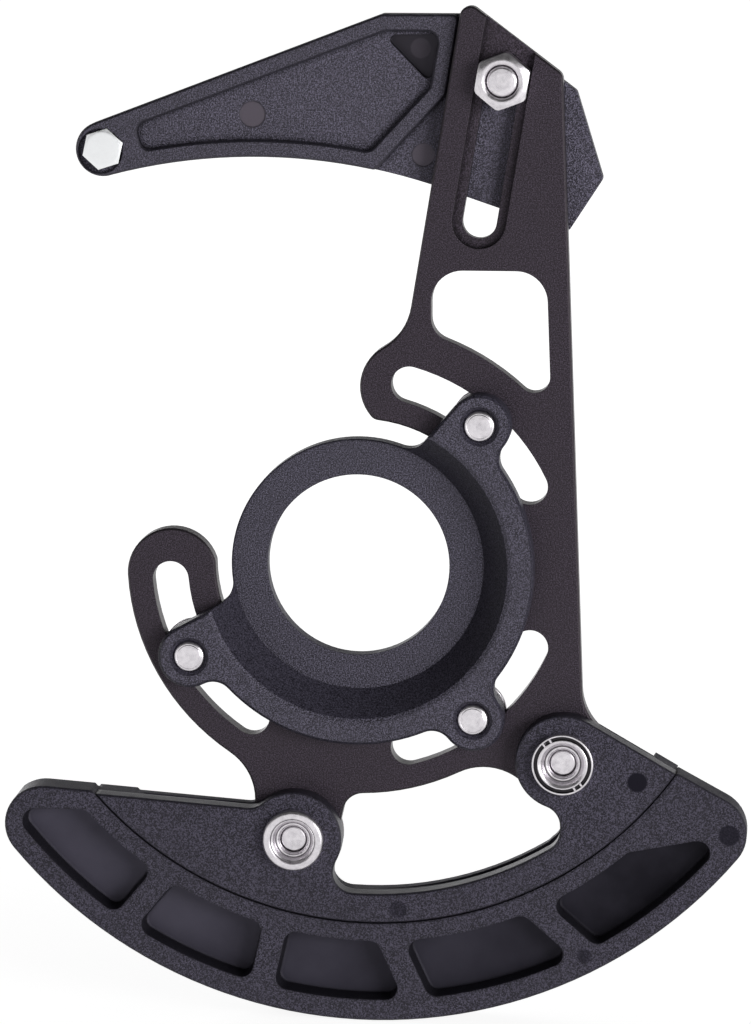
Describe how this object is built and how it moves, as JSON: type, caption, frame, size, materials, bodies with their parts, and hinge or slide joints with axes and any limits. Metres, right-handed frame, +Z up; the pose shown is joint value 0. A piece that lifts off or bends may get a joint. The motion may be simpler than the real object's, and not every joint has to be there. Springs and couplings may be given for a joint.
{
  "type": "bicycle chain guide",
  "caption": "Bicycle chain guide: slotted backplate on a dished bottom bracket adapter, with an upper guide over the chain and a crescent bash guard below.",
  "frame": {"origin": "centre of the bottom bracket bore, on the face of the adapter ring that seats on the frame's shell", "axes": "+X to the right seen from the frame side, +Y along the bottom bracket axis away from the frame, +Z up the arm"},
  "size_m": [0.1432, 0.0305, 0.1951],
  "materials": {
    "anodised_plate": "matte black anodised plate",
    "moulded_nylon": "spark-textured black nylon moulding",
    "zinc_steel": "bright zinc plated steel"
  },
  "bodies": {
    "root": {"bb_adapter": "moulded_nylon", "backplate": "anodised_plate", "adapter_washers": "zinc_steel", "adapter_bolts": "zinc_steel", "upper_guide_inner": "moulded_nylon", "upper_guide_outer": "moulded_nylon", "upper_clamp_washer": "zinc_steel", "upper_clamp_bolt": "zinc_steel", "upper_clamp_nut": "zinc_steel", "guide_tip_bolt": "zinc_steel", "bash_body": "moulded_nylon", "bash_clamp_plate": "moulded_nylon", "bash_washers": "zinc_steel", "bash_bolts": "zinc_steel", "bash_nuts": "zinc_steel"}
  },
  "joints": []
}
